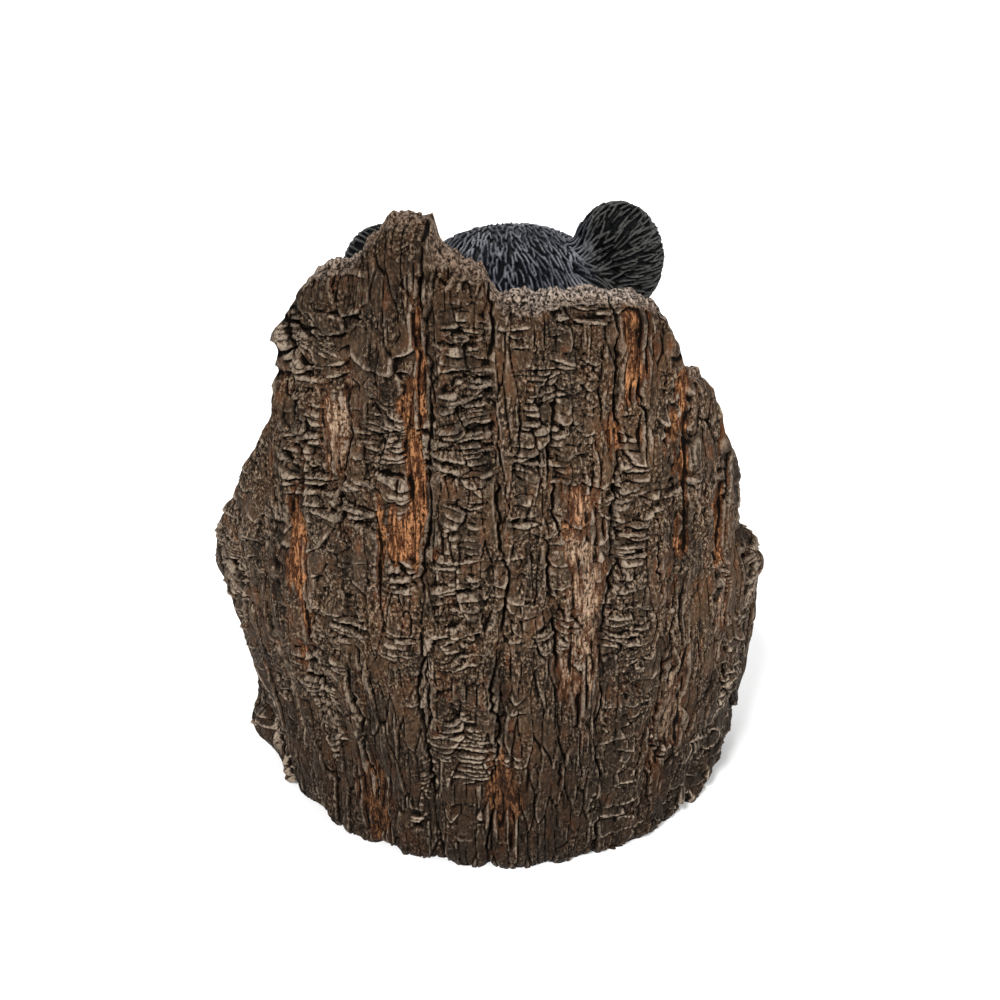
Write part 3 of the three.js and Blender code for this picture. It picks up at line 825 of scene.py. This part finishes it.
def carve_strands(points, normals, flow, pitch, length, width, seed):
    """Relief of the strands, from 0 in a groove to 1 on the tallest tip, and their crests, from 0 at a
    strand's edge to 1 on its middle line. Strands lie about `pitch` apart. Along a strand the height climbs
    to its tip, and across it the height falls as a parabola."""
    random = np.random.default_rng(seed)
    seeds = part_seeds(points, normals, flow, length, pitch, random)
    low = points.min(0) - 20.0
    count = len(seeds)
    ahead = flow[seeds] + 0.14 * random.normal(size=(count, 3))
    ahead = across_skin(ahead, normals[seeds])
    aside = np.cross(normals[seeds], ahead)
    long = 1.15 * length * random.uniform(0.8, 1.2, count)
    half = width * random.uniform(0.85, 1.15, count)
    bend = random.normal(size=count) * 0.02
    level = random.uniform(0.0, 0.3, count)

    reach = 0.75 * length
    seed_cell = np.floor((points[seeds] - low) / reach).astype(int)
    point_cell = np.floor((points - low) / reach).astype(int)
    by_cell = np.argsort(cell_key(seed_cell))
    sorted_keys = cell_key(seed_cell)[by_cell]
    height, crest = np.zeros(len(points)), np.zeros(len(points))
    for step in np.ndindex(3, 3, 3):
        wanted = cell_key(point_cell + np.array(step) - 1)
        start = np.searchsorted(sorted_keys, wanted, "left")
        held = np.searchsorted(sorted_keys, wanted, "right") - start
        for slot in range(held.max()):
            here = np.nonzero(held > slot)[0]
            strand = by_cell[start[here] + slot]
            away = points[here] - points[seeds[strand]]
            along = (away * ahead[strand]).sum(1)
            share = along / long[strand] + 0.5
            side = (away * aside[strand]).sum(1) - bend[strand] * along ** 2
            ridge = 1.0 - (side / (half[strand] * (1.0 - 0.5 * np.clip(share, 0, 1) ** 3))) ** 2
            inside = (ridge > 0) & (share > 0) & (share < 1)
            facing = (normals[here] * normals[seeds[strand]]).sum(1) > 0.2
            climb = (level[strand] + 0.4 + 0.3 * share) * ease((1.0 - share) / 0.15) * ease(share / 0.25)
            made = np.where(inside & facing, climb * ridge, 0.0)
            taller = made > height[here]
            crest[here] = np.where(taller, ridge * ease((1.0 - share) / 0.15), crest[here])
            height[here] = np.where(taller, made, height[here])
    print("strands", count, "heights", np.percentile(height, SPREAD).round(2),
          "crests", np.percentile(crest, SPREAD).round(2))
    return height, crest


# %% [markdown]
# The head: a broad skull between two round, cupped ears, and a face with full cheeks and a short muzzle.
# The fur runs back from the nose over the skull, bends down at the nape, and fans out over the ears.

# %% The cub's head
CUB_X = -7.0
HEAD_CENTRE = np.array([CUB_X - 2.0, 20.0, 218.0])
HEAD_ROLL = math.radians(6.0)
EAR_PLACE, EAR_RADII, EAR_CUP = np.array([48.0, 0.0, 30.0]), np.array([19.0, 9.0, 24.0]), 8.5
EYE_PLACE, EYE_RADIUS = np.array([19.0, -42.0, 5.0]), 5.0
HEAD_VOXEL = 1.3
HEAD_STRANDS = {"pitch": 1.35, "length": 8.5, "width": 0.85, "seed": 61}
HEAD_TRIANGLES = 190000


def ear(side):
    """A flat ellipsoid whose front is pushed back into a cup, deepest in the middle."""
    points, faces = ball((0, 0, 0), (1, 1, 1))
    off = np.hypot(points[:, 0], points[:, 2])
    depth = EAR_CUP / EAR_RADII[1] * ease((0.85 - off) / 0.6)
    points[:, 1] += np.where(points[:, 1] < 0, depth, 0.0)
    return points * EAR_RADII + EAR_PLACE * (side, 1, 1), faces


def head_flow(points):
    """The way the fur lies: away from the nose, down at the nape, and outwards from a point in each ear."""
    flow = points - np.array([0.0, -62.0, -8.0])
    flow /= np.linalg.norm(flow, axis=1, keepdims=True)
    flow[:, 2] -= 1.1 * ease((points[:, 1] + 12.0) / 36.0)
    flow[:, 0] += 0.012 * points[:, 0]
    for side in (-1, 1):
        fan = points - np.array([side * 25.0, 0.0, 24.0])
        fan[:, 1] *= 0.2
        fan /= np.linalg.norm(fan, axis=1, keepdims=True) + 1e-9
        reach = ease((side * points[:, 0] - 17.0) / 20.0) * ease((points[:, 2] + 2.0) / 14.0)
        flow = mix(flow, fan, reach[:, None])
    return flow


def face_lines(points):
    """Depths carved in the face, in mm: the mouth's two arcs, the line under the nose, the lids' edges."""
    x, y, z = points.T
    front = ease((-46.0 - y) / 4.0)
    mouth = -24.0 + 5.0 * np.cos(np.abs(x) / 4.6)
    lines = -1.6 * np.exp(-(((z - mouth) / 1.1) ** 2)) * front * ease((17.0 - np.abs(x)) / 3.0)
    lines -= 1.3 * np.exp(-((x / 0.9) ** 2)) * front * ease((z + 21.0) / 3.0) * ease((-8.0 - z) / 3.0)
    for side in (-1, 1):
        off = np.linalg.norm(points - EYE_PLACE * (side, 1, 1), axis=1)
        lines += 1.1 * np.exp(-(((off - 6.4) / 1.3) ** 2)) * ease((-34.0 - y) / 4.0)
    return lines


def build_head():
    """Lumps for the skull, cheeks, brow, muzzle and bridge, with both ears, melted and carved."""
    lumps = [
        ball((0, 0, 0), (52, 47, 46)), ball((0, -8, -15), (54, 35, 27)), ball((0, -29, 10), (29, 16, 13)),
        ball((0, -41, -14), (23, 27, 18)), ball((0, -38, -3), (16, 28, 14)), ear(-1), ear(1),
    ]
    piece, points, normals = melt("fur_head", lumps, HEAD_VOXEL, 6)
    flow = across_skin(head_flow(points), normals)
    x, y, z = points.T
    muzzle = ease((-33.0 - y) / 12.0) * ease((26.0 - np.abs(x)) / 5.0) * ease((8.0 - z) / 8.0)
    on_ear = np.zeros(len(points))
    for side in (-1, 1):
        off = np.hypot((side * x - EAR_PLACE[0]) / EAR_RADII[0], (z - EAR_PLACE[2]) / EAR_RADII[2])
        on_ear = np.maximum(on_ear, ease((1.35 - off) / 0.35) * ease((side * x - 30.0) / 12.0))
    ridge, crest = carve_strands(points, normals, flow, **HEAD_STRANDS)
    bald = np.zeros(len(points))
    for place, reach, fade in [(EYE_PLACE * (-1, 1, 1), 9, 3), (EYE_PLACE, 9, 3), ((0, -66, -6), 13, 4)]:
        bald = np.maximum(bald, ease((reach - np.linalg.norm(points - place, axis=1)) / fade))
    tall = (1.6 - 1.0 * muzzle) * (1.0 - bald)
    points = points + normals * ((ridge - 0.5) * tall + face_lines(points))[:, None]
    return piece, points, {"ridge": ridge, "crest": crest, "muzzle": muzzle, "ear": on_ear}


def set_on_neck(points):
    """Rolls the upright head about its centre and moves it to its place over the body."""
    level, lift = math.cos(HEAD_ROLL), math.sin(HEAD_ROLL)
    roll = np.array([[level, 0, -lift], [0, 1, 0], [lift, 0, level]])
    return points @ roll + HEAD_CENTRE + CENTRING


def finish_fur(piece, points, values, most):
    """Puts the carved points and the paint's attributes into the piece, and thins it."""
    piece.data.vertices.foreach_set("co", (points * MM).astype(np.float32).ravel())
    for key, numbers in values.items():
        add_numbers(piece.data, key, numbers)
    piece.data.update()
    return thin_out(piece, most)


head, head_points, head_values = build_head()
finish_fur(head, set_on_neck(head_points), head_values, HEAD_TRIANGLES)

# %% [markdown]
# The body sits on its haunches in the hollow, and both forelegs reach over the low front of the rim, with
# five toes to a paw. Here the fur hangs down the back and belly and runs along the legs.

# %% The cub's body
# Stations: x and y of the centre, z, half width, half depth
BODY = [
    (2, 4, 40, 62, 52), (2, 2, 66, 74, 60), (2, 2, 95, 79, 63), (1, 5, 122, 77, 60), (1, 9, 146, 70, 54),
    (0, 14, 168, 60, 48), (0, 18, 190, 52, 44), (0, 20, 212, 46, 40),
]
FORELEG = [
    (52, 12, 166, 20, 20), (60, -12, 148, 26, 25), (62, -40, 128, 24, 22), (56, -66, 112, 20, 18),
    (48, -84, 105, 18, 16), (44, -96, 102, 21, 14), (42, -110, 96, 20, 11),
]
TOES = range(-2, 3)
BODY_FOOT = 62.6  # the body stops just over the hollow's floor
BODY_VOXEL = 2.2
BODY_STRANDS = {"pitch": 2.4, "length": 11.0, "width": 1.45, "seed": 62}
BODY_TRIANGLES = 116000


def toe_place(side, toe):
    """Toes stand side by side across the paw, the outer ones set back."""
    return np.array([CUB_X + 2 + side * (43 + 8.2 * toe), -107.0 + toe ** 2, 95.0])


def body_flow(points):
    """Down the trunk of the body, forwards and down along the forelegs and over the haunches."""
    x, y, z = points.T
    flow = np.stack([0.004 * (x - CUB_X), 0.0 * y, np.full(len(x), -1.0)], -1)
    leg = ease((-10.0 - y) / 30.0) * ease((z - 84.0) / 14.0)
    return mix(flow, np.array([0.0, -0.9, -0.42]), leg[:, None])


def build_body():
    """Lumps for the trunk, haunches, forelegs and toes, melted, carved and cut off level with the floor."""
    lumps = [limb([(CUB_X + x, y, z, wide, deep) for x, y, z, wide, deep in BODY], 72)]
    for side in (-1, 1):
        lumps.append(ball((CUB_X + 2 + side * 40, -38, 74), (28, 38, 26)))
        lumps.append(limb([(CUB_X + 2 + side * x, y, z, wide, deep) for x, y, z, wide, deep in FORELEG]))
        lumps += [ball(toe_place(side, toe), (4.8, 8.4, 7.6), 32) for toe in TOES]
    piece, points, normals = melt("fur_body", lumps, BODY_VOXEL, 4)
    flow = across_skin(body_flow(points), normals)
    ridge, crest = carve_strands(points, normals, flow, **BODY_STRANDS)
    x, y, z = points.T
    tall = 1.5 * mix(1.0, 0.45, ease((-88.0 - y) / 12.0))
    points = points + normals * ((ridge - 0.5) * tall)[:, None]
    points[:, 2] = np.maximum(points[:, 2], BODY_FOOT)
    nothing = np.zeros(len(points))
    return piece, points, {"ridge": ridge, "crest": crest, "muzzle": nothing, "ear": nothing}


body, body_points, body_values = build_body()
finish_fur(body, body_points + CENTRING, body_values, BODY_TRIANGLES)

# %% [markdown]
# Eyes, nose and claws are smooth and shiny, so they are small surfaces of their own, set into the fur.

# %% Eyes, nose and claws
NOSE_PLACE = np.array([0.0, -65.0, -5.0])
# Stations of a claw from its toe: ahead, up, half width, half depth
CLAW = [(-3, 1, 2.4, 2.6), (-8, 0.5, 2.1, 2.3), (-11, -3, 1.4, 1.6), (-12, -8, 0.5, 0.5)]


def build_eyes():
    """Two glossy balls."""
    points, faces = join([ball(EYE_PLACE * (side, 1, 1), np.full(3, EYE_RADIUS), 48) for side in (-1, 1)])
    return add_piece("eyes", set_on_neck(points), faces)


def build_nose():
    """A rounded triangle: an ellipsoid that narrows downwards, with a dent for each nostril."""
    points, faces = ball((0, 0, 0), (1, 1, 1), 96)
    x, y, z = points.T
    points[:, 0] *= 1.0 - 0.35 * ease(-z)
    dents = 0.0
    for side in (-1, 1):
        dents = dents + ease(1.0 - np.hypot((x - side * 0.45) / 0.3, (z + 0.15) / 0.38)) * (y < 0)
    points[:, 1] += 0.45 * dents
    return add_piece("nose_tip", set_on_neck(points * (11.0, 7.0, 7.6) + NOSE_PLACE), faces)


def build_claws():
    """One curved cone for each toe of the forepaws, which bends down over the rim."""
    claws = []
    for side in (-1, 1):
        for toe in TOES:
            x, y, z = toe_place(side, toe)
            claws.append(limb([(x, y + ahead, z + up, wide, deep) for ahead, up, wide, deep in CLAW], 16, 16))
    points, faces = join(claws)
    return add_piece("claws", points + CENTRING, faces)


eyes, nose, claws = build_eyes(), build_nose(), build_claws()
print([(piece.name, len(piece.data.vertices)) for piece in (eyes, nose, claws)])

# %% [markdown]
# The fur was painted black and then brushed with blue-grey, which stayed on the strands' crests. The ears
# were left almost black. The attribute `ridge` is 0 in the grooves and 1 on the tallest tips, and `crest` is
# 0 at a strand's edges and 1 on its middle line.

# %% The fur's paint
def fur_paint():
    """Black between the strands, blue-grey on their crests, darker ears and a tan muzzle with a painted
    highlight on its ridges.
    """
    paint = Paint("painted_fur", roughness=0.5, specular=0.08)
    crest, ridge, muzzle = paint.attribute("crest"), paint.attribute("ridge"), paint.attribute("muzzle")
    on_ear, speckle = paint.attribute("ear"), paint.noise(1.5, 1.5, 3.0, 0.65)
    patchy = paint.noise(14.0, 14.0)
    brushed = paint.times(paint.ramp(crest, 0.3, 1.0), paint.ramp(ridge, 0.15, 0.85))
    skull = paint.blend(brushed, linear(10, 12, 19), linear(132, 133, 138))
    skull = paint.blend(paint.ramp(patchy, 0.35, 0.65, 0.6, 0.0), skull, linear(20, 23, 34))
    dark = paint.blend(brushed, linear(4, 4, 4), linear(78, 78, 75))
    coat = paint.blend(on_ear, skull, dark)
    # The muzzle's tan is painted lighter on the ridges of its strands: a painted highlight.
    tan = paint.blend(paint.ramp(ridge, 0.2, 0.8), linear(84, 58, 38), linear(176, 140, 102))
    coat = paint.blend(muzzle, coat, tan)
    coat = paint.blend(paint.ramp(speckle, 0.36, 0.5, 0.6, 0.0), coat, linear(10, 11, 15))
    coat = paint.blend(paint.ramp(crest, 0.4, 0.1), coat, linear(1, 2, 4))
    paint.join(coat, paint.shader.inputs["Base Color"])
    paint.relief(speckle, 0.4, 0.4)
    return paint.material


def smooth_paint(name, colour, roughness, coat):
    """A shiny painted surface with faint uneven gloss."""
    paint = Paint(name, roughness, 0.5)
    cloud = paint.noise(3.0, 3.0, 2.0)
    darker = tuple(0.55 * part for part in colour[:3]) + (1.0,)
    paint.join(paint.blend(paint.ramp(cloud, 0.35, 0.7), darker, colour), paint.shader.inputs["Base Color"])
    paint.shader.inputs["Coat Weight"].default_value = coat
    paint.relief(cloud, 0.1, 0.2)
    return paint.material


coat = fur_paint()
for piece in (head, body):
    piece.data.materials.append(coat)
    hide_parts("bear")
eyes.data.materials.append(smooth_paint("eye_gloss", linear(36, 22, 14), 0.12, 1.0))
nose.data.materials.append(smooth_paint("nose_black", linear(26, 25, 26), 0.38, 0.3))
claws.data.materials.append(smooth_paint("claw_horn", linear(70, 62, 54), 0.4, 0.2))
for piece in (head, body, eyes, nose, claws):
    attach(piece, "root")
print(coat.name, "has", len(coat.node_tree.nodes), "nodes")

# %% [markdown]
# The photograph was taken from behind and above, with a long lens and soft light on a white ground. A broad
# sun, two square lights and a pale world give that light, and the floor glows a little to stay white.

# %% Camera, light and floor
AIM = np.array([-5.4, 0.0, 128.0])
CAMERA_RISE, CAMERA_AWAY = math.radians(28.0), 1000.0
camera_data = bpy.data.cameras.new("camera")
camera_data.lens, camera_data.sensor_width = 80.5, 36.0
camera = bpy.data.objects.new("camera", camera_data)
camera.location = (AIM + CAMERA_AWAY * np.array([0.0, math.cos(CAMERA_RISE), math.sin(CAMERA_RISE)])) * MM
camera.rotation_euler = (math.pi / 2 - CAMERA_RISE, 0.0, math.pi)
bpy.context.scene.collection.objects.link(camera)
bpy.context.scene.camera = camera


def soft_light(name, place, size, power):
    """A square light that looks at the middle of the figurine."""
    data = bpy.data.lights.new(name, "AREA")
    data.size, data.energy = size, power
    light = bpy.data.objects.new(name, data)
    light.location = place
    away = np.array(place) - np.array([0.0, 0.0, 0.15])
    flat = math.hypot(away[0], away[1])
    light.rotation_euler = (math.atan2(flat, away[2]), 0.0, math.atan2(away[1], away[0]) + math.pi / 2)
    bpy.context.scene.collection.objects.link(light)


soft_light("fill", (-1.1, 0.8, 0.8), 0.9, 8.0)
soft_light("front", (0.3, -1.2, 1.0), 1.0, 14.0)
sun_data = bpy.data.lights.new("overhead", "SUN")
sun_data.energy, sun_data.angle = 3.2, math.radians(12.0)
sun = bpy.data.objects.new("overhead", sun_data)
sun.rotation_euler = (math.radians(-42.0), math.radians(16.0), 0.0)
bpy.context.scene.collection.objects.link(sun)
world = bpy.data.worlds.new("studio")
world.use_nodes = True
world.node_tree.nodes["Background"].inputs["Color"].default_value = (1.0, 1.0, 1.0, 1.0)
world.node_tree.nodes["Background"].inputs["Strength"].default_value = 0.45
bpy.context.scene.world = world
bpy.context.scene.view_settings.view_transform = "Standard"

FLOOR_HALF = 3000.0
corners = np.array([(-1, -1, 0), (1, -1, 0), (1, 1, 0), (-1, 1, 0)])
floor = add_piece("floor", FLOOR_HALF * corners, [np.array([[0, 1, 2, 3]])])
floor_paint = Paint("white_floor", roughness=0.9, specular=0.1)
floor_paint.shader.inputs["Base Color"].default_value = (0.9, 0.9, 0.9, 1.0)
floor_paint.shader.inputs["Emission Color"].default_value = (1.0, 1.0, 1.0, 1.0)
floor_paint.shader.inputs["Emission Strength"].default_value = 0.15
floor.data.materials.append(floor_paint.material)
print("the camera looks down by", round(math.degrees(CAMERA_RISE)), "degrees from", CAMERA_AWAY, "mm away")
